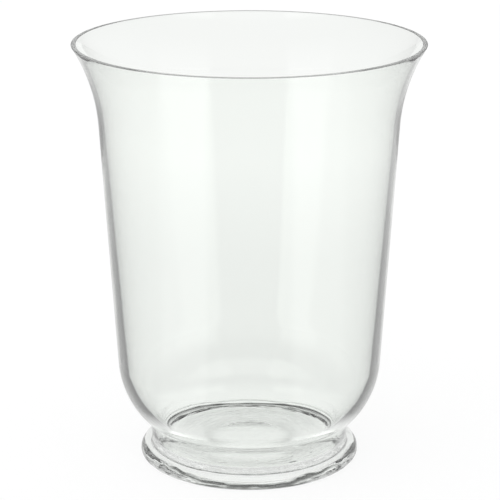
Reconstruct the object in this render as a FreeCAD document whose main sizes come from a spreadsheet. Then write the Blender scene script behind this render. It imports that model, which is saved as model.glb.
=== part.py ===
import FreeCAD, Part
import os

import Sketcher

# A footed vase of clear glass, in millimetres. +Z is up, and the origin is the centre of the foot's base.
# It is two pieces of glass: a blown bowl with a flared mouth and a drawn-in neck, and a thick round foot.

SIZES = {
    # the outside of the bowl, from the mouth down
    "total_height": 280.0,
    "lip_flat": 2.4,  # how wide the mouth's ground edge is
    "lip_round": 0.4,
    "mouth_flare": 16.5,  # how much wider the mouth is than the wall's top
    "flare_drop": 53.0,  # how far below the mouth the wall's top lies
    "wall_lean": 10.1,  # how much wider the wall's top is than its waist
    "waist_height": 65.0,
    "waist_radius": 87.3,
    "heel_round": 58.0,
    "neck_round": 19.4,
    "neck_rise": 6.35,
    "neck_radius": 65.5,
    "base_spread": 1.2,  # how far the bowl's base spreads where it was melted onto the foot
    "base_rise": 1.6,
    # how thick the bowl's glass is, and how its inside turns
    "flare_wall": 3.2,
    "waist_wall": 5.4,
    "neck_wall": 5.0,
    "floor_wall": 2.2,
    "inner_heel_round": 53.0,
    "inner_neck_round": 23.0,
    "inner_neck_rise": 2.5,
    "floor_round": 3.0,
    # the foot
    "foot_thickness": 8.3,
    "foot_radius": 73.0,
    "foot_base_round": 3.2,
    "hollow_radius": 62.0,
    "hollow_depth": 2.4,
    "hollow_flank": 3.0,
    "pontil_radius": 25.0,
    "pontil_depth": 1.5,
}

# How far a sketch's arcs bow from their chords before the constraints settle them, as a share of the chord
BOW_SHARE = 0.1
# How much wider than the neck the bowl is where the neck's curve runs into the heel's, as a share of its radius
NECK_TURN_SHARE = 0.3
# The ends and the middle of a sketch's edge, as the sketcher numbers them
HEAD, TAIL, CENTRE = range(1, 4)
# The sketch's own two axes, as the sketcher numbers them, and its origin
LEVEL_AXIS_INDEX = -1
UPRIGHT_AXIS_INDEX = -2
ORIGIN = (LEVEL_AXIS_INDEX, HEAD)
FULL_TURN = 360


def make_sheet(doc):
    """The spreadsheet of driving sizes, one named cell each."""
    sheet = doc.addObject("Spreadsheet::Sheet", "Sizes")
    for row, (name, value) in enumerate(SIZES.items(), start=1):
        sheet.set(f"A{row}", name)
        sheet.set(f"B{row}", str(value))
        sheet.setAlias(f"B{row}", name)
    doc.recompute()
    return sheet


def make_body(doc, label):
    """An empty body at the origin, under the name that its file gets."""
    body = doc.addObject("PartDesign::Body", label)
    body.Label = label
    body.Placement = FreeCAD.Placement()
    return body


def upright_sketch(body, name):
    """An empty sketch on the body's own upright plane: x is the distance from the axis, y the height."""
    sketch = body.newObject("Sketcher::SketchObject", name)
    plane = next(feature for feature in body.Origin.OriginFeatures if feature.Role == "XZ_Plane")
    sketch.AttachmentSupport = (plane, [""])
    sketch.MapMode = "FlatFace"
    return sketch


def arc_through(start, end, bow):
    """An arc that turns left on its way from start to end, by a first guess."""
    along = end - start
    aside = FreeCAD.Vector(along.y, -along.x, 0)
    middle = (start + end) / 2 + aside * bow
    return Part.Arc(start, middle, end)


class Outline:
    """A closed chain of lines and arcs in a sketch. Each stretch is tied to the one before it."""

    def __init__(self, sketch, start):
        self.sketch = sketch
        self.at = FreeCAD.Vector(*start)
        self.first = None
        self.last = None

    def join(self, kind, head, tail):
        """Ties the newest stretch's head to the last tail, and remembers its tail."""
        if self.last is None:
            self.first = head
        else:
            self.sketch.addConstraint(Sketcher.Constraint(kind, *self.last, *head))
        self.last = tail

    def line(self, end, kind="Coincident"):
        """A straight stretch to about end."""
        end = FreeCAD.Vector(*end)
        edge = self.sketch.addGeometry(Part.LineSegment(self.at, end))
        self.join(kind, (edge, HEAD), (edge, TAIL))
        self.at = end
        return edge

    def smooth_line(self, end):
        """A straight stretch that runs on smoothly from the arc before it."""
        return self.line(end, "Tangent")

    def left_arc(self, end, bow=BOW_SHARE, kind="Tangent"):
        """An arc to about end that turns left on its way."""
        end = FreeCAD.Vector(*end)
        edge = self.sketch.addGeometry(arc_through(self.at, end, bow))
        self.join(kind, (edge, HEAD), (edge, TAIL))
        self.at = end
        return edge

    def right_arc(self, end, bow=BOW_SHARE, kind="Tangent"):
        """An arc to about end that turns right on its way: a left turn the other way round."""
        end = FreeCAD.Vector(*end)
        edge = self.sketch.addGeometry(arc_through(end, self.at, bow))
        self.join(kind, (edge, TAIL), (edge, HEAD))
        self.at = end
        return edge

    def guide(self, start, end):
        """A construction line, which carries dimensions and isn't part of the outline."""
        return self.sketch.addGeometry(Part.LineSegment(FreeCAD.Vector(*start), FreeCAD.Vector(*end)), True)

    def close(self):
        """Ties the last tail to the first head."""
        self.sketch.addConstraint(Sketcher.Constraint("Coincident", *self.last, *self.first))


def set_size(sketch, kind, points, size, less=None):
    """A dimension that follows one cell of the sheet, or the difference of two."""
    value = SIZES[size]
    formula = f"Sizes.{size}"
    if less is not None:
        value = value - SIZES[less]
        formula = f"{formula} - Sizes.{less}"
    number = sketch.addConstraint(Sketcher.Constraint(kind, *points, value))
    sketch.setExpression(f"Constraints[{number}]", formula)


def set_radius(sketch, edge, size):
    """The radius of an arc."""
    set_size(sketch, "Radius", (edge,), size)


def set_place(sketch, point, across, up):
    """How far a point lies from the axis, and how high."""
    set_size(sketch, "DistanceX", ORIGIN + point, across)
    set_size(sketch, "DistanceY", ORIGIN + point, up)


def set_level(sketch, *edges):
    """Lays straight edges level."""
    for edge in edges:
        sketch.addConstraint(Sketcher.Constraint("Horizontal", edge))


def set_upright(sketch, *edges):
    """Stands straight edges upright."""
    for edge in edges:
        sketch.addConstraint(Sketcher.Constraint("Vertical", edge))


def set_on(sketch, point, edge=UPRIGHT_AXIS_INDEX):
    """Puts a point on a line of the sketch, or on the axis."""
    sketch.addConstraint(Sketcher.Constraint("PointOnObject", *point, edge))


def turn(body, sketch, kind):
    """A full turn of a sketch about the upright axis, as glass (Revolution) or as a hollow (Groove)."""
    feature = body.newObject(f"PartDesign::{kind}", f"{sketch.Name}_{kind.lower()}")
    feature.Profile = sketch
    feature.ReferenceAxis = (sketch, ["V_Axis"])
    feature.Angle = FULL_TURN
    sketch.Visibility = False
    return feature


def make_bowl(doc):
    """The blown bowl: one wall profile, closed along the axis, turned full circle."""
    s = SIZES
    body = make_body(doc, "bowl")
    sketch = upright_sketch(body, "bowl_wall")

    seat = s["foot_thickness"]
    floor = seat + s["floor_wall"]
    wall_top = (s["waist_radius"] + s["wall_lean"], s["total_height"] - s["flare_drop"])
    mouth = wall_top[0] + s["mouth_flare"]
    top = s["total_height"]
    round_height = top - s["lip_round"]
    rim_outside = mouth - s["lip_round"]
    rim_inside = rim_outside - s["lip_flat"]
    neck_top = (s["neck_radius"] + s["neck_round"] * NECK_TURN_SHARE, seat + s["neck_rise"] + s["neck_round"])
    inner_neck = s["neck_radius"] - s["neck_wall"]
    inner_waist = s["waist_radius"] - s["waist_wall"]

    outline = Outline(sketch, (0, seat))
    base = outline.line((s["neck_radius"] + s["base_spread"], seat))
    outline.right_arc((s["neck_radius"], seat + s["base_rise"]), kind="Coincident")
    neck_side = outline.smooth_line((s["neck_radius"], seat + s["neck_rise"]))
    neck = outline.right_arc(neck_top)
    heel = outline.left_arc((s["waist_radius"], s["waist_height"]))
    wall = outline.smooth_line(wall_top)
    outline.right_arc((mouth, round_height))
    outer_round = outline.left_arc((rim_outside, top))
    rim = outline.smooth_line((rim_inside, top))
    inner_round = outline.left_arc((rim_inside - s["lip_round"], round_height))
    outline.left_arc((wall_top[0] - s["flare_wall"], wall_top[1]))
    inner_wall = outline.smooth_line((inner_waist, s["waist_height"]))
    inner_heel = outline.right_arc((neck_top[0] - s["neck_wall"], neck_top[1] + s["neck_wall"]))
    inner_neck_arc = outline.left_arc((inner_neck, floor + s["floor_round"] + s["inner_neck_rise"]))
    inner_side = outline.smooth_line((inner_neck, floor + s["floor_round"]))
    floor_arc = outline.right_arc((inner_neck - s["floor_round"], floor))
    floor_line = outline.smooth_line((0, floor))
    axis = outline.line((0, seat))
    outline.close()
    waist = outline.guide((inner_waist, s["waist_height"]), (s["waist_radius"], s["waist_height"]))

    set_level(sketch, base, rim, floor_line, waist)
    set_upright(sketch, neck_side, inner_side, axis)
    set_on(sketch, (base, HEAD))
    set_size(sketch, "DistanceY", ORIGIN + (base, TAIL), "foot_thickness")
    set_size(sketch, "DistanceX", ORIGIN + (neck_side, HEAD), "neck_radius")
    set_size(sketch, "DistanceX", (neck_side, HEAD, base, TAIL), "base_spread")
    set_size(sketch, "DistanceY", (base, TAIL, neck_side, HEAD), "base_rise")
    set_size(sketch, "DistanceY", (base, TAIL, neck_side, TAIL), "neck_rise")
    set_radius(sketch, neck, "neck_round")
    set_radius(sketch, heel, "heel_round")
    set_on(sketch, (waist, TAIL), wall)
    set_on(sketch, (waist, HEAD), inner_wall)
    set_place(sketch, (waist, TAIL), "waist_radius", "waist_height")
    set_size(sketch, "DistanceX", (waist, HEAD, waist, TAIL), "waist_wall")
    set_size(sketch, "DistanceX", (waist, TAIL, wall, TAIL), "wall_lean")
    set_size(sketch, "DistanceX", (wall, TAIL, outer_round, CENTRE), "mouth_flare", "lip_round")
    set_size(sketch, "DistanceY", (wall, TAIL, outer_round, CENTRE), "flare_drop", "lip_round")
    set_size(sketch, "DistanceY", ORIGIN + (outer_round, CENTRE), "total_height", "lip_round")
    set_radius(sketch, outer_round, "lip_round")
    set_size(sketch, "DistanceX", (rim, TAIL, rim, HEAD), "lip_flat")
    set_radius(sketch, inner_round, "lip_round")
    sketch.addConstraint(Sketcher.Constraint("Horizontal", inner_wall, HEAD, wall, TAIL))
    set_size(sketch, "DistanceX", (inner_wall, HEAD, wall, TAIL), "flare_wall")
    set_radius(sketch, inner_heel, "inner_heel_round")
    set_radius(sketch, inner_neck_arc, "inner_neck_round")
    set_size(sketch, "DistanceX", (inner_side, TAIL, neck_side, HEAD), "neck_wall")
    set_size(sketch, "DistanceY", (inner_side, TAIL, inner_side, HEAD), "inner_neck_rise")
    set_radius(sketch, floor_arc, "floor_round")
    set_size(sketch, "DistanceY", (axis, TAIL, axis, HEAD), "floor_wall")

    turn(body, sketch, "Revolution")
    return body


def make_foot(doc):
    """The foot: a thick disc with a full rounded edge, hollowed a little underneath."""
    s = SIZES
    body = make_body(doc, "foot")
    top = s["foot_thickness"]

    disc = upright_sketch(body, "disc")
    outline = Outline(disc, (0, 0))
    base = outline.line((s["foot_radius"] - s["foot_base_round"], 0))
    under_round = outline.left_arc((s["foot_radius"], s["foot_base_round"]))
    over_round = outline.left_arc((s["foot_radius"] - top + s["foot_base_round"], top))
    face = outline.smooth_line((0, top))
    axis = outline.line((0, 0))
    outline.close()
    disc.addConstraint(Sketcher.Constraint("Coincident", base, HEAD, *ORIGIN))
    set_level(disc, base, face)
    set_upright(disc, axis)
    set_radius(disc, under_round, "foot_base_round")
    disc.addConstraint(Sketcher.Constraint("Horizontal", under_round, CENTRE, under_round, TAIL))
    set_size(disc, "DistanceX", ORIGIN + (over_round, HEAD), "foot_radius")
    set_size(disc, "DistanceY", ORIGIN + (axis, HEAD), "foot_thickness")
    turn(body, disc, "Revolution")

    hollow = upright_sketch(body, "hollow")
    outline = Outline(hollow, (0, 0))
    mouth = outline.line((s["hollow_radius"], 0))
    flank = outline.line((s["hollow_radius"] - s["hollow_flank"], s["hollow_depth"]))
    roof = outline.line((0, s["hollow_depth"]))
    axis = outline.line((0, 0))
    outline.close()
    hollow.addConstraint(Sketcher.Constraint("Coincident", mouth, HEAD, *ORIGIN))
    set_level(hollow, mouth, roof)
    set_upright(hollow, axis)
    set_size(hollow, "DistanceX", ORIGIN + (mouth, TAIL), "hollow_radius")
    set_size(hollow, "DistanceX", (flank, TAIL, flank, HEAD), "hollow_flank")
    set_size(hollow, "DistanceY", (flank, HEAD, flank, TAIL), "hollow_depth")
    turn(body, hollow, "Groove")

    pontil = upright_sketch(body, "pontil")
    outline = Outline(pontil, (0, s["hollow_depth"]))
    rim = outline.line((s["pontil_radius"], s["hollow_depth"]))
    dome = outline.left_arc((0, s["hollow_depth"] + s["pontil_depth"]), kind="Coincident")
    axis = outline.line((0, s["hollow_depth"]))
    outline.close()
    set_level(pontil, rim)
    set_upright(pontil, axis)
    set_place(pontil, (rim, TAIL), "pontil_radius", "hollow_depth")
    set_on(pontil, (rim, HEAD))
    set_on(pontil, (dome, CENTRE))
    set_size(pontil, "DistanceY", (axis, TAIL, axis, HEAD), "pontil_depth")
    turn(body, pontil, "Groove")
    return body


def check(doc, parts):
    """Stops if a feature failed or a piece isn't one valid solid."""
    for item in doc.Objects:
        if "Invalid" in item.State or "Error" in item.State:
            raise RuntimeError(f"{item.Label} failed: {item.State}")
    for part in parts:
        shape = part.Shape
        if shape.isNull() or not shape.isValid() or len(shape.Solids) != 1:
            raise RuntimeError(f"{part.Label} isn't one valid solid")


def main():
    doc = FreeCAD.newDocument("footed_vase")
    make_sheet(doc)
    parts = [make_bowl(doc), make_foot(doc)]
    doc.recompute()
    check(doc, parts)
    os.makedirs("parts", exist_ok=True)
    for part in parts:
        box = part.Shape.BoundBox
        print(part.Label, round(part.Shape.Volume), round(box.XLength, 3), round(box.ZMin, 3), round(box.ZMax, 3))
        part.Shape.exportStep(os.path.join("parts", f"{part.Label}.step"))


main()
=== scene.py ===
"""A footed vase of clear glass with a flared mouth, turned on its axis; one soft lamp and painted shade and
highlights in floor and room make it look like a product picture.
"""
import collections
import math

import bmesh
import bpy
from bpy.props import FloatProperty, FloatVectorProperty, IntProperty, PointerProperty
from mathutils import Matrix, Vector


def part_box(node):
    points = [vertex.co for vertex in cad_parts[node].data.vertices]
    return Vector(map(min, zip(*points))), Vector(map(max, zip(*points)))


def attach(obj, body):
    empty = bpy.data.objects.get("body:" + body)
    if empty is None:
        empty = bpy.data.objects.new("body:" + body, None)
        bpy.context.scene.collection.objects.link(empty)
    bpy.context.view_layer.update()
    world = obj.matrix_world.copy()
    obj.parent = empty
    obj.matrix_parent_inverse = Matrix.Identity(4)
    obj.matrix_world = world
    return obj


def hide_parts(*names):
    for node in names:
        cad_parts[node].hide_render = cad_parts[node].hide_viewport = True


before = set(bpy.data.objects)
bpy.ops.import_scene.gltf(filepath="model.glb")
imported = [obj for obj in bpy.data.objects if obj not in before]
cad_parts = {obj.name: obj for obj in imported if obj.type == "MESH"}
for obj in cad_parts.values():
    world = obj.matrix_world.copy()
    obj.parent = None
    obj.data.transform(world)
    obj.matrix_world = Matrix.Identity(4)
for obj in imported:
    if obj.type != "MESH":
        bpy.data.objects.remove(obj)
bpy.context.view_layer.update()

bl_info = {
    "name": "Footed Glass Vase",
    "version": (1, 0, 0),
    "blender": (4, 5, 0),
    "location": "3D View > Sidebar > Vase",
    "description": "Turns a footed, flared vase of clear glass and sets it on a white studio floor",
    "category": "Object",
}

MM = 0.001
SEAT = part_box("foot")[1].z
FOOT_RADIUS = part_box("foot")[1].x
TOTAL_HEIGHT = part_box("bowl")[1].z

# How finely the outline is drawn, in radians a step along an arc and metres a step along a straight
ARC_STEP = math.radians(3)
SMALL_ARC_STEP = math.radians(7.5)
WIDE_ARC_STEP = math.radians(1)
STRAIGHT_STEP = 8 * MM
# Points closer than this are one point
WELD = 0.001 * MM
# Neighbouring faces that meet at more than this stay a crisp corner
CRISP_ANGLE = math.radians(35)

# The slow waves' roughness, and how many patches of deeper tint there are to a metre
WAVE_DETAIL = 1.5
TINT_PATCHES_A_METRE = 9.0

# The streaks: how fine they are round the glass and across it, how far from the axis they start and are full,
# and how high they reach
STREAKS_ROUND = 3.5
STREAKS_A_METRE = 350
STREAKS_START = 12 * MM
STREAKS_FULL = 45 * MM
STREAKS_END = 34 * MM

FLOOR_SIDES = 96
SENSOR_WIDTH = 36

# The room between two nodes' corners in the shader editor
NODE_COLUMN = 220
NODE_ROW = 300

ROOT = "root"


def length(name, description, default):
    """A size that a user may change, in metres."""
    return FloatProperty(
        name=name, description=description, default=default, min=0.0, unit="LENGTH", precision=5
    )


def angle(name, description, default):
    """A turn that a user may change, in radians."""
    return FloatProperty(
        name=name, description=description, default=default, subtype="ANGLE", unit="ROTATION"
    )


def share(name, description, default):
    """A plain number from nought to one."""
    return FloatProperty(
        name=name, description=description, default=default, min=0.0, max=1.0, precision=4
    )


def colour(name, description, default):
    """A colour with no alpha."""
    return FloatVectorProperty(
        name=name, description=description, default=default, subtype="COLOR", size=3, min=0.0, max=1.0
    )


class VASE_PG_bowl(bpy.types.PropertyGroup):
    """The sizes of the blown bowl."""

    lip_width: length("Lip Width", "Width of the flat ground lip", 3.2 * MM)
    lip_round: length("Lip Round", "Radius of the lip's two polished edges", 0.4 * MM)
    mouth_flare: length("Mouth Flare", "How much wider the mouth is than the wall's top", 16.5 * MM)
    flare_drop: length("Flare Drop", "How far below the mouth the wall's top lies", 53 * MM)
    wall_lean: length("Wall Lean", "How much wider the wall's top is than its waist", 10.1 * MM)
    waist_height: length("Waist Height", "Height at which the waist radius is measured", 65 * MM)
    waist_radius: length("Waist Radius", "Outer radius at the waist", 87.3 * MM)
    heel_round: length("Heel Round", "Radius of the outer heel's curve", 58 * MM)
    neck_round: length("Neck Round", "Radius of the neck's hollow curve", 19.4 * MM)
    neck_rise: length("Neck Rise", "Height of the neck's straight side", 6.35 * MM)
    neck_radius: length("Neck Radius", "Outer radius of the neck", 65.5 * MM)
    base_spread: length("Base Spread", "How far the neck spreads where it meets the foot", 1.2 * MM)
    base_rise: length("Base Rise", "Height of the spread", 1.6 * MM)
    flare_wall: length("Flare Wall", "Thickness of the glass at the wall's top", 3.2 * MM)
    waist_wall: length("Waist Wall", "Thickness of the glass at the waist", 5.4 * MM)
    neck_wall: length("Neck Wall", "Thickness of the glass at the neck", 5 * MM)
    floor_wall: length("Floor Wall", "Thickness of the bowl's own floor", 2.2 * MM)
    inner_heel_round: length("Inner Heel Round", "Radius of the heel's curve inside", 53 * MM)
    inner_neck_round: length("Inner Neck Round", "Radius of the neck's curve inside", 23 * MM)
    inner_neck_rise: length("Inner Neck Rise", "Height of the well's straight side", 2.5 * MM)
    floor_round: length("Floor Round", "Radius between the well's side and its floor", 3 * MM)
    segments: IntProperty(name="Segments", description="Steps in the full turn", default=240, min=24, max=512)


class VASE_PG_foot(bpy.types.PropertyGroup):
    """The sizes of the foot."""

    base_round: length("Base Round", "Radius of the foot's lower edge", 3.2 * MM)
    hollow_radius: length("Hollow Radius", "Radius of the hollow under the foot", 62 * MM)
    hollow_depth: length("Hollow Depth", "Depth of the hollow under the foot", 2.4 * MM)
    hollow_flank: length("Hollow Flank", "Width of the hollow's sloping side", 3 * MM)
    hollow_ease: length("Hollow Ease", "Width of the rounding along the hollow's two corners", 0.8 * MM)
    pontil_radius: length("Pontil Radius", "Radius of the ground dimple in the middle", 25 * MM)
    pontil_depth: length("Pontil Depth", "Depth of the dimple", 1.5 * MM)
    segments: IntProperty(name="Segments", description="Steps in the full turn", default=240, min=24, max=512)


class VASE_PG_glass(bpy.types.PropertyGroup):
    """The look of the glass."""

    tint: colour("Tint", "Colour of the clear glass", (0.978, 0.995, 0.978))
    deep_tint: colour("Deep Tint", "Colour where the glass is a shade deeper", (0.968, 0.985, 0.965))
    shadow_tint: colour("Shadow Tint", "How much of the lamp's light passes", (0.95, 0.96, 0.955))
    index: FloatProperty(name="Index", description="Index of refraction", default=1.5, min=1.0, max=2.0)
    bowl_wave: length("Bowl Wave", "Height of the slow waves in the bowl's surface", 0.05 * MM)
    foot_wave: length("Foot Wave", "Height of the slow waves in the foot's surface", 0.12 * MM)
    wave_size: length("Wave Size", "Distance from wave to wave", 40 * MM)
    streak_height: length("Streak Height", "Height of the streaks round the thick glass below", 0.3 * MM)


class VASE_PG_stage(bpy.types.PropertyGroup):
    """The floor, the room, the lamp and the camera."""

    floor_radius: length("Floor Radius", "Radius of the round floor", 20.0)
    floor_drop: length("Floor Drop", "Gap that keeps the floor clear of the foot", 0.2 * MM)
    floor_glow: share("Floor Glow", "How bright the floor is of itself", 0.83)
    floor_lit: share("Floor Lit", "How much of the lamp's light the floor gives back", 0.1)
    lamp_strength: FloatProperty(
        name="Lamp Strength", description="Light of the soft lamp", default=3.1, min=0.0
    )
    lamp_spread: angle("Lamp Spread", "How wide the soft lamp looks", 1.4)
    lamp_tilt: angle("Lamp Tilt", "How far the lamp leans to the left and to the front", 0.4)
    light_turns: IntProperty(
        name="Light Turns", description="How often light may turn in the glass", default=128, min=4
    )
    camera_back: length("Camera Back", "How far the camera stands in front of the axis", 1.297268)
    camera_height: length("Camera Height", "Height of the camera", 0.529209)
    camera_tilt: angle("Camera Tilt", "How far the camera looks down", 0.29096)
    lens: FloatProperty(name="Lens", description="Focal length in millimetres", default=147.99, min=1.0)
    shift: FloatProperty(name="Shift", description="Sideways shift of the picture", default=0.00141)


GROUPS = {
    "vase_bowl": VASE_PG_bowl,
    "vase_foot": VASE_PG_foot,
    "vase_glass": VASE_PG_glass,
    "vase_stage": VASE_PG_stage,
}


class Outline:
    """A line of glass in the upright plane, drawn step by step from a first point: x is out, y is up."""

    def __init__(self, start):
        self.mesh = bmesh.new()
        self.at = Vector(start)
        self.tip = self.mesh.verts.new((self.at.x, 0, self.at.y))

    def line(self, end):
        """A straight stretch, in even steps."""
        start, end = self.at, Vector(end)
        count = max(1, math.ceil((end - start).length / STRAIGHT_STEP))
        for number in range(1, count + 1):
            self.tip = bmesh.ops.extrude_vert_indiv(self.mesh, verts=[self.tip])["verts"][0]
            place = start.lerp(end, number / count)
            self.tip.co = (place.x, 0, place.y)
        self.at = end

    def arc(self, centre, end, step=ARC_STEP):
        """A round stretch about centre, the short way to end."""
        centre, end = Vector(centre), Vector(end)
        turn = (self.at - centre).angle_signed(end - centre)
        count = max(2, math.ceil(abs(turn) / step))
        made = bmesh.ops.spin(
            self.mesh,
            geom=[self.tip],
            cent=(centre.x, 0, centre.y),
            axis=(0, 1, 0),
            angle=turn,
            steps=count,
            use_merge=False,
            use_duplicate=False,
        )
        self.tip = next(item for item in made["geom_last"] if isinstance(item, bmesh.types.BMVert))
        self.tip.co = (end.x, 0, end.y)
        self.at = end

    def lathe(self, name, segments):
        """Turns the line full circle and returns the closed piece."""
        mesh = self.mesh
        bmesh.ops.spin(
            mesh,
            geom=mesh.verts[:] + mesh.edges[:],
            cent=(0, 0, 0),
            axis=(0, 0, 1),
            angle=math.tau,
            steps=segments,
            use_merge=True,
            use_duplicate=False,
        )
        bmesh.ops.remove_doubles(mesh, verts=mesh.verts[:], dist=WELD)
        bmesh.ops.recalc_face_normals(mesh, faces=mesh.faces[:])
        data = bpy.data.meshes.new(name)
        mesh.to_mesh(data)
        mesh.free()
        data.shade_smooth()
        data.set_sharp_from_angle(angle=CRISP_ANGLE)
        piece = bpy.data.objects.new(name, data)
        bpy.context.scene.collection.objects.link(piece)
        return piece


def wall_direction(low, high):
    """The way up a wall from low to high, and its outward side."""
    up = (high - low).normalized()
    return up, Vector((up.y, -up.x))


def touching_heel(waist, wall_top, heel_round, neck_centre, neck_round):
    """The centre of the heel's arc, which runs smoothly into the wall and the neck's arc, and the way out."""
    up, out = wall_direction(waist, wall_top)
    base = waist - out * heel_round - neck_centre
    reach = heel_round + neck_round
    along = base.dot(up)
    rise = -along + math.sqrt(along * along - base.length_squared + reach * reach)
    return waist + up * rise - out * heel_round, out


def touching_flare(wall_top, out, lip_centre, lip_round, side):
    """The centre of the flare's arc, which runs smoothly from the wall into the lip.

    The side is 1 outside and -1 inside.
    """
    gap = wall_top - lip_centre
    radius = (gap.length_squared - lip_round**2) / (2 * (side * lip_round - out.dot(gap)))
    return wall_top + out * radius


def point_between(centre, other, radius):
    """The point at radius from centre, on the way to other."""
    return centre + (other - centre).normalized() * radius


def bowl_outline(size):
    """The bowl's line of glass, from the middle of its base out, up, over the lip and down to the floor."""
    waist = Vector((size.waist_radius, size.waist_height))
    wall_top = Vector((waist.x + size.wall_lean, TOTAL_HEIGHT - size.flare_drop))
    mouth = wall_top.x + size.mouth_flare
    lip_outer = Vector((mouth - size.lip_round, TOTAL_HEIGHT - size.lip_round))
    lip_inner = Vector((mouth - size.lip_width + size.lip_round, TOTAL_HEIGHT - size.lip_round))
    inner_waist = waist - Vector((size.waist_wall, 0))
    inner_top = wall_top - Vector((size.flare_wall, 0))
    neck = size.neck_radius
    neck_centre = Vector((neck + size.neck_round, SEAT + size.neck_rise))
    base_top = SEAT + size.base_rise
    base_round = (size.base_spread**2 + size.base_rise**2) / (2 * size.base_spread)
    floor = SEAT + size.floor_wall
    floor_top = floor + size.floor_round
    well = neck - size.neck_wall
    well_top = floor_top + size.inner_neck_rise
    inner_neck_centre = Vector((well + size.inner_neck_round, well_top))

    heel, out = touching_heel(waist, wall_top, size.heel_round, neck_centre, size.neck_round)
    inner_heel, inner_out = touching_heel(
        inner_waist, inner_top, size.inner_heel_round, inner_neck_centre, size.inner_neck_round
    )
    flare = touching_flare(wall_top, out, lip_outer, size.lip_round, 1)
    inner_flare = touching_flare(inner_top, inner_out, lip_inner, size.lip_round, -1)

    line = Outline((0, SEAT))
    line.line((neck + size.base_spread, SEAT))
    line.arc((neck + base_round, base_top), (neck, base_top), SMALL_ARC_STEP)
    line.line((neck, neck_centre.y))
    line.arc(neck_centre, point_between(neck_centre, heel, size.neck_round))
    line.arc(heel, heel + out * size.heel_round)
    line.line(wall_top)
    line.arc(flare, point_between(lip_outer, flare, size.lip_round))
    line.arc(lip_outer, (lip_outer.x, TOTAL_HEIGHT), SMALL_ARC_STEP)
    line.line((lip_inner.x, TOTAL_HEIGHT))
    line.arc(lip_inner, point_between(lip_inner, inner_flare, -size.lip_round), SMALL_ARC_STEP)
    line.arc(inner_flare, inner_top)
    line.line(inner_heel + inner_out * size.inner_heel_round)
    line.arc(inner_heel, point_between(inner_neck_centre, inner_heel, size.inner_neck_round))
    line.arc(inner_neck_centre, (well, well_top))
    line.line((well, floor_top))
    line.arc((well - size.floor_round, floor_top), (well - size.floor_round, floor), SMALL_ARC_STEP)
    line.line((0, floor))
    return line


def foot_outline(size, joint_radius):
    """The foot's line of glass, from the dimple's middle out, up over the rounded edge and back in."""
    over_round = SEAT - size.base_round
    roof = size.hollow_depth
    dimple_top = roof + size.pontil_depth
    dome = (size.pontil_radius**2 + size.pontil_depth**2) / (2 * size.pontil_depth)
    inner_flank = size.hollow_radius - size.hollow_flank
    ease = size.hollow_ease

    line = Outline((0, dimple_top))
    line.arc((0, dimple_top - dome), (size.pontil_radius, roof), WIDE_ARC_STEP)
    line.line((inner_flank - ease, roof))
    line.line((inner_flank + ease, roof - ease))
    line.line((size.hollow_radius - ease, ease))
    line.line((size.hollow_radius + ease, 0))
    line.line((FOOT_RADIUS - size.base_round, 0))
    line.arc((FOOT_RADIUS - size.base_round, size.base_round), (FOOT_RADIUS, size.base_round), SMALL_ARC_STEP)
    line.arc((FOOT_RADIUS - over_round, size.base_round), (FOOT_RADIUS - over_round, SEAT), SMALL_ARC_STEP)
    line.line((joint_radius, SEAT))
    line.line((0, SEAT))
    return line


def mark_joint(piece, radius, facing):
    """Gives the second material to the flat faces that lie in the joint between bowl and foot."""
    for face in piece.data.polygons:
        centre = face.center
        level = abs(centre.z - SEAT) < WELD
        if level and face.normal.z * facing > 0 and math.hypot(centre.x, centre.y) < radius:
            face.material_index = 1


def seat_piece(piece, node):
    """Ties a finished piece to the frame."""
    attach(piece, ROOT)
    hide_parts(node)


def feed(tree, socket, value):
    """Links a socket to another node's result, or gives it a plain value."""
    if isinstance(value, bpy.types.NodeSocket):
        tree.links.new(value, socket)
    else:
        socket.default_value = value


def add_node(tree, kind, inputs=None, **settings):
    """A shader node with its own settings and with what goes into it, by the inputs' names or numbers."""
    node = tree.nodes.new(kind)
    for name, value in settings.items():
        setattr(node, name, value)
    for name, value in (inputs or {}).items():
        feed(tree, node.inputs[name], value)
    return node


def add_math(tree, operation, *values):
    """One step of arithmetic on sockets and plain numbers, and its result."""
    return add_node(tree, "ShaderNodeMath", dict(enumerate(values)), operation=operation).outputs["Value"]


def add_mix(tree, factor, low, high):
    """A blend of two colours by a factor, and its result."""
    inputs = {"Factor": factor, "A": low, "B": high}
    return add_node(tree, "ShaderNodeMix", inputs, data_type="RGBA").outputs["Result"]


def add_fade(tree, value, start, end):
    """A smooth rise from nought at start to one at end."""
    inputs = {"Value": value, "From Min": start, "From Max": end}
    return add_node(tree, "ShaderNodeMapRange", inputs, interpolation_type="SMOOTHSTEP").outputs["Result"]


def lay_out(tree):
    """Sets a tree's nodes in columns, each to the right of all that feed it."""
    columns = {}

    def column(node):
        if node.name not in columns:
            sources = [link.from_node for link in tree.links if link.to_node == node]
            columns[node.name] = 1 + max(map(column, sources), default=-1)
        return columns[node.name]

    rows = collections.Counter()
    for node in tree.nodes:
        place = column(node)
        node.location = (NODE_COLUMN * place, -NODE_ROW * rows[place])
        rows[place] += 1


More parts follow.
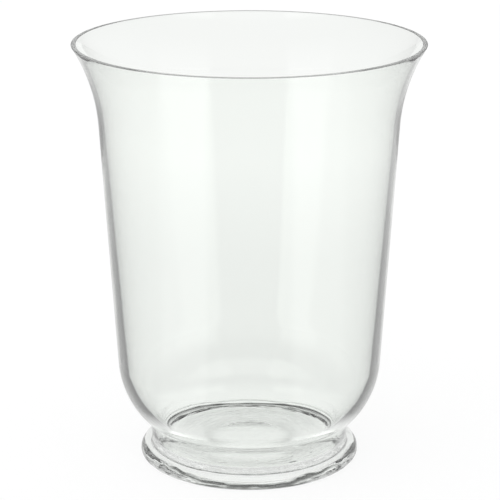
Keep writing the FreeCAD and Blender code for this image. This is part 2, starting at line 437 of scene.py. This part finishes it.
def add_streaks(tree, place):
    """Fine streaks round the thick glass below, which fade out above it and toward the axis."""
    split = add_node(tree, "ShaderNodeSeparateXYZ", {"Vector": place})
    flat = add_node(tree, "ShaderNodeCombineXYZ", {"X": split.outputs["X"], "Y": split.outputs["Y"]})
    reach = add_node(tree, "ShaderNodeVectorMath", {0: flat.outputs["Vector"]}, operation="LENGTH")
    radius = add_math(tree, "MAXIMUM", reach.outputs["Value"], WELD)
    spot = add_node(tree, "ShaderNodeCombineXYZ", {"Z": add_math(tree, "MULTIPLY", radius, STREAKS_A_METRE)})
    for axis in ("X", "Y"):
        turned = add_math(tree, "DIVIDE", split.outputs[axis], radius)
        feed(tree, spot.inputs[axis], add_math(tree, "MULTIPLY", turned, STREAKS_ROUND))
    height = add_math(tree, "MULTIPLY", split.outputs["Z"], STREAKS_A_METRE)
    inputs = {"Vector": spot.outputs["Vector"], "W": height, "Scale": 1.0, "Detail": 1.0}
    noise = add_node(tree, "ShaderNodeTexNoise", inputs, noise_dimensions="4D")
    low = add_fade(tree, split.outputs["Z"], STREAKS_END, SEAT)
    wide = add_fade(tree, radius, STREAKS_START, STREAKS_FULL)
    return add_math(tree, "MULTIPLY", noise.outputs["Fac"], add_math(tree, "MULTIPLY", low, wide))


def wave_group():
    """What both glasses share: slow waves and streaks in the surface, and where the tint is deeper."""
    group = bpy.data.node_groups.get("glass_waves")
    if group:
        return group
    group = bpy.data.node_groups.new("glass_waves", "ShaderNodeTree")
    group.interface.new_socket("Vector", in_out="INPUT", socket_type="NodeSocketVector")
    for name, way in (("Scale", "INPUT"), ("Streaks", "INPUT"), ("Height", "OUTPUT"), ("Depth", "OUTPUT")):
        group.interface.new_socket(name, in_out=way, socket_type="NodeSocketFloat")
    source = add_node(group, "NodeGroupInput")
    place = source.outputs["Vector"]
    inputs = {"Vector": place, "Scale": source.outputs["Scale"], "Detail": WAVE_DETAIL}
    waves = add_node(group, "ShaderNodeTexNoise", inputs, noise_dimensions="3D")
    inputs = {"Vector": place, "Scale": TINT_PATCHES_A_METRE, "Detail": 1.0}
    depth = add_node(group, "ShaderNodeTexNoise", inputs, noise_dimensions="3D")
    streaks = add_streaks(group, place)
    height = add_math(group, "MULTIPLY_ADD", streaks, source.outputs["Streaks"], waves.outputs["Fac"])
    add_node(group, "NodeGroupOutput", {"Height": height, "Depth": depth.outputs["Fac"]})
    lay_out(group)
    return group


def glass_material(name, look, wave_height):
    """Clear glass: a refracting shader with slow waves, which lets the lamp's light through to the floor."""
    material = bpy.data.materials.new(name)
    material.use_nodes = True
    tree = material.node_tree
    place = add_node(tree, "ShaderNodeTexCoord")
    inputs = {
        "Vector": place.outputs["Object"],
        "Scale": 1 / look.wave_size,
        "Streaks": look.streak_height / wave_height,
    }
    waves = add_node(tree, "ShaderNodeGroup", inputs, node_tree=wave_group())
    tint = add_mix(tree, waves.outputs["Depth"], (*look.tint, 1), (*look.deep_tint, 1))
    bump = add_node(tree, "ShaderNodeBump", {"Distance": wave_height, "Height": waves.outputs["Height"]})
    glass = tree.nodes["Principled BSDF"]
    feed(tree, glass.inputs["Base Color"], tint)
    feed(tree, glass.inputs["Normal"], bump.outputs["Normal"])
    feed(tree, glass.inputs["Roughness"], 0.0)
    feed(tree, glass.inputs["IOR"], look.index)
    feed(tree, glass.inputs["Transmission Weight"], 1.0)

    rays = add_node(tree, "ShaderNodeLightPath")
    through = add_node(tree, "ShaderNodeBsdfTransparent", {"Color": (*look.shadow_tint, 1)})
    inputs = {"Fac": rays.outputs["Is Shadow Ray"], 1: glass.outputs["BSDF"], 2: through.outputs["BSDF"]}
    either = add_node(tree, "ShaderNodeMixShader", inputs)
    feed(tree, tree.nodes["Material Output"].inputs["Surface"], either.outputs["Shader"])
    lay_out(tree)
    return material


def joint_material():
    """The joint where the two hot glasses ran together: nothing shows there."""
    material = bpy.data.materials.get("melted_joint")
    if material:
        return material
    material = bpy.data.materials.new("melted_joint")
    material.use_nodes = True
    tree = material.node_tree
    tree.nodes.remove(tree.nodes["Principled BSDF"])
    clear = add_node(tree, "ShaderNodeBsdfTransparent")
    feed(tree, tree.nodes["Material Output"].inputs["Surface"], clear.outputs["BSDF"])
    lay_out(tree)
    return material


WHITE = (1.0, 1.0, 1.0, 1)

# Painted shade, rings and highlights that the glass shows of the floor, in pairs of a distance from the axis
# and a brightness.
# The floor looks plain white where no glass is in the way. These brightnesses are painted on it only for rays
# that came through the glass, and they stand in for the glass's dark edges, bright bands and streaks. The
# distance is in shares of the floor's reach. The rows are for a ray that the glass let straight through, for
# one through the far lip alone, for one that turned once in an edge of the glass or once on its face, for one
# that turned more often and for one that turned until little of its light was left.
FLOOR_REACH = 1.5
PAINTED_FLOOR_BEHIND = (
    (0.0, 1.12), (0.015, 1.15), (0.0185, 0.8), (0.0215, 1.1), (0.025, 0.85), (0.029, 1.1), (0.033, 0.9),
    (0.038, 1.08), (0.05, 1.0), (0.1, 0.955), (0.28, 0.965), (0.5, 1.03),
)
PAINTED_FLOOR_LIP = ((0.0, 1.0), (0.1, 1.0), (0.12, 0.35), (0.35, 0.35), (0.4, 1.03))
PAINTED_FLOOR_EDGE = (
    (0.0, 0.85), (0.05, 0.8), (0.065, 0.04), (0.1, 0.05), (0.2, 0.05), (0.28, 0.08), (0.4, 0.16),
    (0.55, 0.3), (0.62, 0.9), (1.0, 1.0),
)
PAINTED_FLOOR_FACE = ((0.0, 0.9), (0.3, 0.8), (0.45, 0.85), (1.0, 0.95))
PAINTED_FLOOR_MANY = ((0.0, 1.0), (0.08, 1.0), (0.12, 0.9), (1.0, 0.9))
PAINTED_FLOOR_LOST = ((0.0, 0.55), (1.0, 0.6))

# The same painted shade and highlights for the room, from straight below at nought to straight above at one
PAINTED_ROOM_LIP = (0.4, 0.4, 0.4, 1)
PAINTED_ROOM_EDGE = ((0.0, 0.2), (0.5, 0.35), (0.62, 0.85), (1.0, 1.0))
PAINTED_ROOM_FACE = (
    (0.0, 0.5), (0.5, 0.72), (0.58, 0.78), (0.76, 0.03), (0.84, 0.03), (0.87, 0.7), (1.0, 0.7),
)
PAINTED_ROOM_MANY = (
    (0.0, 0.9), (0.6, 0.9), (0.68, 0.6), (0.8, 0.6), (0.83, 1.2), (0.87, 1.2), (0.89, 0.03), (0.93, 0.03),
    (0.95, 1.3), (0.98, 1.3), (1.0, 0.1),
)
PAINTED_ROOM_LOST = ((0.0, 0.9), (0.6, 0.9), (0.68, 0.5), (0.78, 0.4), (0.84, 0.02), (1.0, 0.02))

# Painted bright bands and darker stretches that floor and room show through the glass: how much brighter they
# are on each side of the vase, going round it from the back at nought by the left at a quarter, the camera at
# a half and the right at three quarters to the back at one
PAINTED_FACE_SIDES = (
    (0.0, 0.9), (0.3, 0.9), (0.32, 1.5), (0.41, 1.5), (0.42, 0.55), (0.58, 0.55), (0.595, 1.5), (0.7, 1.4),
    (0.72, 1.0), (1.0, 0.9),
)
PAINTED_EDGE_SIDES = (
    (0.0, 1.0), (0.08, 0.8), (0.22, 0.8), (0.3, 1.0), (0.7, 1.0), (0.78, 1.1), (0.92, 1.1), (1.0, 1.0),
)

# A ray counts the surfaces that it passed and its turns. Each of these lies between two whole counts.
ANY = 0.5
ONE_TURN = 1.5
MANY_TURNS = 7.5
# One wall has two surfaces, and a ray that turned inside a wall has passed two or three
ONE_WALL = 2.5
ONE_WALL_REACH = 0.6


def fill_ramp(ramp, stops):
    """Sets a colour ramp's stops from pairs of place and brightness."""
    elements = ramp.color_ramp.elements
    while len(elements) > 1:
        elements.remove(elements[-1])
    elements[0].position = stops[0][0]
    for place, _ in stops[1:]:
        elements.new(place)
    for element, (_, value) in zip(elements, stops):
        element.color = (value, value, value, 1)


def add_ramps(tree, place, *all_stops):
    """One colour ramp for each row of stops, all read at the same place."""
    sockets = []
    for stops in all_stops:
        ramp = add_node(tree, "ShaderNodeValToRGB", {"Fac": place})
        fill_ramp(ramp, stops)
        sockets.append(ramp.outputs["Color"])
    return sockets


def paint_sides(tree, place, edge, face):
    """Paints light and shade into what the glass shows, by the side of the vase that it comes from."""
    split = add_node(tree, "ShaderNodeSeparateXYZ", {"Vector": place})
    toward = add_math(tree, "MULTIPLY", split.outputs["Y"], -1.0)
    turned = add_math(tree, "ARCTAN2", split.outputs["X"], toward)
    side = add_math(tree, "MULTIPLY_ADD", turned, 1 / math.tau, 0.5)
    edge_side, face_side = add_ramps(tree, side, PAINTED_EDGE_SIDES, PAINTED_FACE_SIDES)
    return add_math(tree, "MULTIPLY", edge, edge_side), add_math(tree, "MULTIPLY", face, face_side)


def painted_through_glass(tree, behind, lip, edge, face, many, lost):
    """What a ray finds, with painted light and shade for every ray that met the glass: plain white with no
    glass on its way, and behind seen straight through the glass.

    Through one wall alone, which happens at the far lip, it finds lip.
    After one turn inside the glass, which happens in the walls' edges, it finds edge, and after one turn on
    a face of the glass it finds face. After more turns it finds many, and after very many it finds lost.
    """
    rays = add_node(tree, "ShaderNodeLightPath")
    walls = rays.outputs["Transmission Depth"]
    turns = rays.outputs["Glossy Depth"]
    straight = add_mix(tree, add_math(tree, "GREATER_THAN", walls, ONE_WALL), lip, behind)
    straight = add_mix(tree, add_math(tree, "GREATER_THAN", walls, ANY), WHITE, straight)
    inside = add_math(tree, "COMPARE", walls, ONE_WALL, ONE_WALL_REACH)
    turned = add_mix(tree, inside, face, edge)
    turned = add_mix(tree, add_math(tree, "GREATER_THAN", turns, ONE_TURN), turned, many)
    turned = add_mix(tree, add_math(tree, "GREATER_THAN", turns, MANY_TURNS), turned, lost)
    return add_mix(tree, add_math(tree, "GREATER_THAN", turns, ANY), straight, turned)


def floor_material(look):
    """The white floor, and the painted shade, rings and highlights that the glass shows of it."""
    material = bpy.data.materials.new("white_floor_painted_through_glass")
    material.use_nodes = True
    tree = material.node_tree
    tree.nodes.remove(tree.nodes["Principled BSDF"])
    place = add_node(tree, "ShaderNodeTexCoord").outputs["Object"]
    reach = add_node(tree, "ShaderNodeVectorMath", {0: place}, operation="LENGTH")
    distance = add_math(tree, "DIVIDE", reach.outputs["Value"], FLOOR_REACH)
    behind, lip, edge, face, many, lost = add_ramps(
        tree, distance, PAINTED_FLOOR_BEHIND, PAINTED_FLOOR_LIP, PAINTED_FLOOR_EDGE, PAINTED_FLOOR_FACE, PAINTED_FLOOR_MANY, PAINTED_FLOOR_LOST
    )
    edge, face = paint_sides(tree, place, edge, face)
    seen_or_painted = painted_through_glass(tree, behind, lip, edge, face, many, lost)
    returned = add_math(tree, "MULTIPLY", seen_or_painted, look.floor_lit)
    glow = add_node(tree, "ShaderNodeEmission", {"Color": seen_or_painted, "Strength": look.floor_glow})
    lit = add_node(tree, "ShaderNodeBsdfDiffuse", {"Color": returned})
    both = add_node(tree, "ShaderNodeAddShader", {0: glow.outputs["Emission"], 1: lit.outputs["BSDF"]})
    feed(tree, tree.nodes["Material Output"].inputs["Surface"], both.outputs["Shader"])
    lay_out(tree)
    return material


def add_room():
    """The white room round the floor, and the painted shade and highlights that the glass shows of it."""
    world = bpy.data.worlds.new("white_room_painted_through_glass")
    world.use_nodes = True
    tree = world.node_tree
    place = add_node(tree, "ShaderNodeTexCoord").outputs["Generated"]
    split = add_node(tree, "ShaderNodeSeparateXYZ", {"Vector": place})
    height = add_node(tree, "ShaderNodeMapRange", {"Value": split.outputs["Z"], "From Min": -1})
    edge, face, many, lost = add_ramps(
        tree, height.outputs["Result"], PAINTED_ROOM_EDGE, PAINTED_ROOM_FACE, PAINTED_ROOM_MANY, PAINTED_ROOM_LOST
    )
    edge, face = paint_sides(tree, place, edge, face)
    seen_or_painted = painted_through_glass(tree, WHITE, PAINTED_ROOM_LIP, edge, face, many, lost)
    feed(tree, tree.nodes["Background"].inputs["Color"], seen_or_painted)
    lay_out(tree)
    bpy.context.scene.world = world


def add_floor(look):
    """The round floor."""
    mesh = bmesh.new()
    bmesh.ops.create_circle(mesh, cap_ends=True, segments=FLOOR_SIDES, radius=look.floor_radius)
    bmesh.ops.translate(mesh, verts=mesh.verts[:], vec=(0, 0, -look.floor_drop))
    data = bpy.data.meshes.new("floor")
    mesh.to_mesh(data)
    mesh.free()
    floor = bpy.data.objects.new("floor", data)
    floor.data.materials.append(floor_material(look))
    bpy.context.scene.collection.objects.link(floor)


def add_lamp(look):
    """One wide, soft lamp above, whose shadow the floor keeps."""
    data = bpy.data.lights.new("soft_lamp", "SUN")
    data.energy = look.lamp_strength
    data.angle = look.lamp_spread
    lamp = bpy.data.objects.new("soft_lamp", data)
    lamp.rotation_euler = (look.lamp_tilt, -look.lamp_tilt, 0)
    lamp.visible_glossy = False
    lamp.visible_transmission = False
    bpy.context.scene.collection.objects.link(lamp)


def add_camera(look):
    """The camera, at the picture's own angle."""
    data = bpy.data.cameras.new("camera")
    data.sensor_width = SENSOR_WIDTH
    data.lens = look.lens
    data.shift_x = look.shift
    camera = bpy.data.objects.new("camera", data)
    camera.location = (0, -look.camera_back, look.camera_height)
    camera.rotation_euler = (math.pi / 2 - look.camera_tilt, 0, 0)
    bpy.context.scene.collection.objects.link(camera)
    bpy.context.scene.camera = camera


class VASE_OT_bowl(bpy.types.Operator):
    """Turns the blown bowl with its flared mouth, heel and neck"""

    bl_idname = "glass_vase.bowl"
    bl_label = "Turn the Bowl"

    def execute(self, context):
        size = context.scene.vase_bowl
        look = context.scene.vase_glass
        piece = bowl_outline(size).lathe("blown_bowl", size.segments)
        piece.data.materials.append(glass_material("bowl_glass", look, look.bowl_wave))
        piece.data.materials.append(joint_material())
        mark_joint(piece, size.neck_radius + size.base_spread, -1)
        seat_piece(piece, "bowl")
        return {"FINISHED"}


class VASE_OT_foot(bpy.types.Operator):
    """Turns the thick round foot with its hollow and dimple underneath"""

    bl_idname = "glass_vase.foot"
    bl_label = "Turn the Foot"

    def execute(self, context):
        size = context.scene.vase_foot
        look = context.scene.vase_glass
        bowl = context.scene.vase_bowl
        joint_radius = bowl.neck_radius + bowl.base_spread
        piece = foot_outline(size, joint_radius).lathe("round_foot", size.segments)
        piece.data.materials.append(glass_material("foot_glass", look, look.foot_wave))
        piece.data.materials.append(joint_material())
        mark_joint(piece, joint_radius, 1)
        seat_piece(piece, "foot")
        return {"FINISHED"}


class VASE_OT_stage(bpy.types.Operator):
    """Sets the white floor, the room, the lamp and the camera"""

    bl_idname = "glass_vase.stage"
    bl_label = "Set the Stage"

    def execute(self, context):
        look = context.scene.vase_stage
        add_floor(look)
        add_room()
        add_lamp(look)
        add_camera(look)
        context.scene.view_settings.view_transform = "Standard"
        for kind in ("max_bounces", "glossy_bounces", "transmission_bounces", "transparent_max_bounces"):
            setattr(context.scene.cycles, kind, look.light_turns)
        return {"FINISHED"}


OPERATORS = (VASE_OT_bowl, VASE_OT_foot, VASE_OT_stage)


class VASE_PT_panel(bpy.types.Panel):
    """The vase's tab in the sidebar."""

    bl_label = "Footed Glass Vase"
    bl_idname = "VASE_PT_panel"
    bl_space_type = "VIEW_3D"
    bl_region_type = "UI"
    bl_category = "Vase"

    def draw(self, context):
        for operator in OPERATORS:
            self.layout.operator(operator.bl_idname)
        for name in GROUPS:
            group = getattr(context.scene, name)
            box = self.layout.box()
            for key in group.bl_rna.properties.keys():
                if key not in ("rna_type", "name"):
                    box.prop(group, key)


CLASSES = (*GROUPS.values(), *OPERATORS, VASE_PT_panel)


def register():
    for kind in CLASSES:
        bpy.utils.register_class(kind)
    for name, kind in GROUPS.items():
        setattr(bpy.types.Scene, name, PointerProperty(type=kind))


def unregister():
    for name in GROUPS:
        delattr(bpy.types.Scene, name)
    for kind in reversed(CLASSES):
        bpy.utils.unregister_class(kind)


def main():
    register()
    for operator in (bpy.ops.glass_vase.bowl, bpy.ops.glass_vase.foot, bpy.ops.glass_vase.stage):
        operator()


if __name__ == "__main__":
    main()
